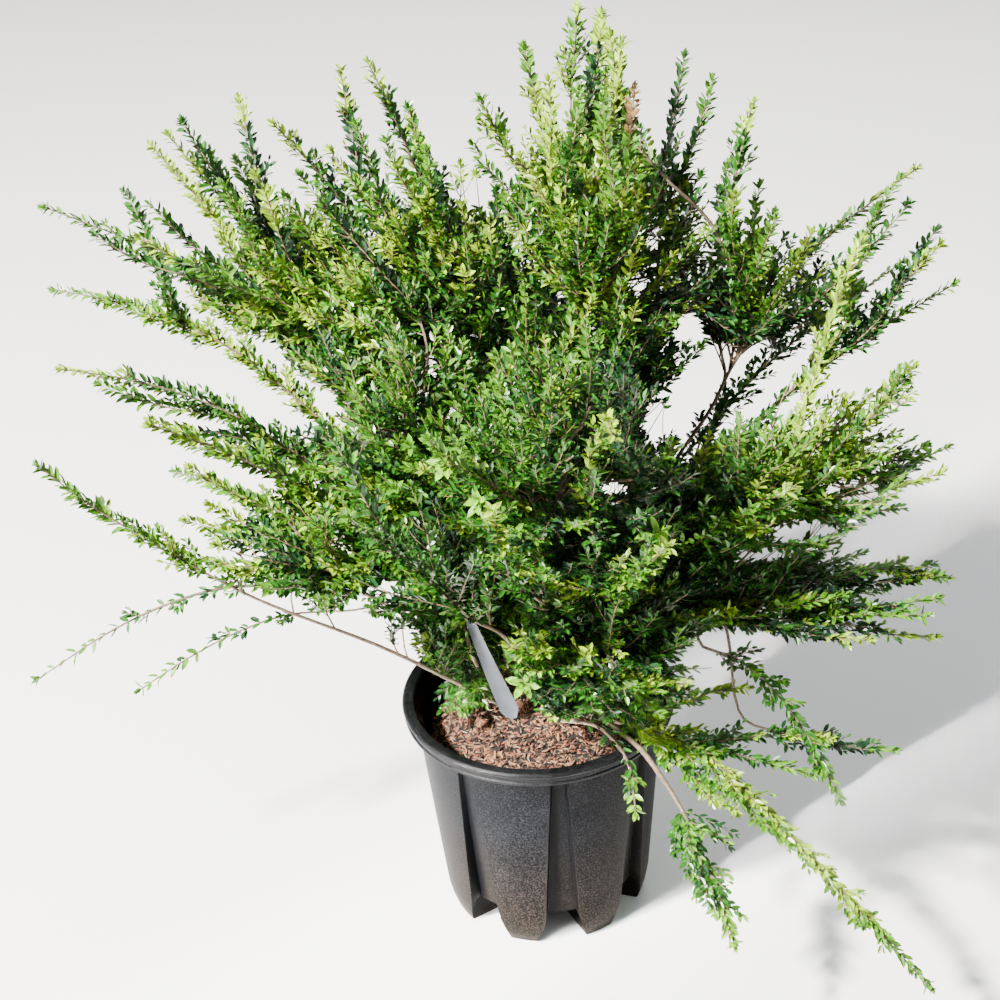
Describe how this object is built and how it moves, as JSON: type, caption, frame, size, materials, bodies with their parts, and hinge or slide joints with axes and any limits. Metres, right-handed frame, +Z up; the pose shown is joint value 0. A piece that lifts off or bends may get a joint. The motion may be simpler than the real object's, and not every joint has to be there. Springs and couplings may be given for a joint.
{
  "type": "potted box honeysuckle shrub",
  "caption": "Spreading evergreen box honeysuckle shrub with small glossy leaves and long arching leafy shoots, growing in a black ribbed plastic nursery pot.",
  "frame": {"origin": "middle of the pot's flat underside, at ground level", "axes": "+Z up, -Y towards the viewer of the picture's front, +X to that viewer's right"},
  "size_m": [0.9395, 0.7669, 0.935],
  "materials": {
    "pot": "satin",
    "compost": "matte",
    "label": "satin",
    "bark": "matte",
    "foliage": "satin",
    "young_foliage": "satin"
  },
  "bodies": {
    "root": {"crown_back": "foliage", "crown_back_left": "foliage", "crown_back_right": "foliage", "crown_core_low": "foliage", "crown_front": "foliage", "crown_front_low": "foliage", "crown_heart": "foliage", "crown_left": "foliage", "crown_lower_left": "foliage", "crown_right": "foliage", "crown_right_low": "foliage", "crown_top": "foliage", "crown_top_left": "foliage", "crown_upper_left": "foliage", "crown_upper_right": "foliage", "label": "label", "pot": "pot", "shoot_back_left": "young_foliage", "shoot_back_left_high": "young_foliage", "shoot_back_left_low": "young_foliage", "shoot_back_low": "young_foliage", "shoot_back_right": "young_foliage", "shoot_front_hanging": "young_foliage", "shoot_front_high": "young_foliage", "shoot_front_left": "young_foliage", "shoot_front_right": "young_foliage", "shoot_front_right_hanging": "young_foliage", "shoot_left_back": "young_foliage", "shoot_left_front": "young_foliage", "shoot_left_high": "young_foliage", "shoot_left_hooked": "young_foliage", "shoot_left_long": "young_foliage", "shoot_left_low": "young_foliage", "shoot_left_mid": "young_foliage", "shoot_left_trailing": "young_foliage", "shoot_right_back": "young_foliage", "shoot_right_cross": "young_foliage", "shoot_right_drooping": "young_foliage", "shoot_right_high": "young_foliage", "shoot_right_long": "young_foliage", "shoot_right_low": "young_foliage", "shoot_right_mid": "young_foliage", "shoot_right_thick": "young_foliage", "shoot_right_under": "young_foliage", "shoot_top": "young_foliage", "shoot_top_back": "young_foliage", "shoot_top_inner": "young_foliage", "shoot_top_left": "young_foliage", "shoot_top_left_back": "young_foliage", "shoot_top_left_inner": "young_foliage", "shoot_top_right": "young_foliage", "shoot_top_right_back": "young_foliage", "shoot_top_right_inner": "young_foliage", "soil": "compost", "stem_back": "bark", "stem_left": "bark", "stem_right": "bark", "stem_right_low": "bark", "stem_top": "bark", "stem_top_left": "bark"}
  },
  "joints": []
}
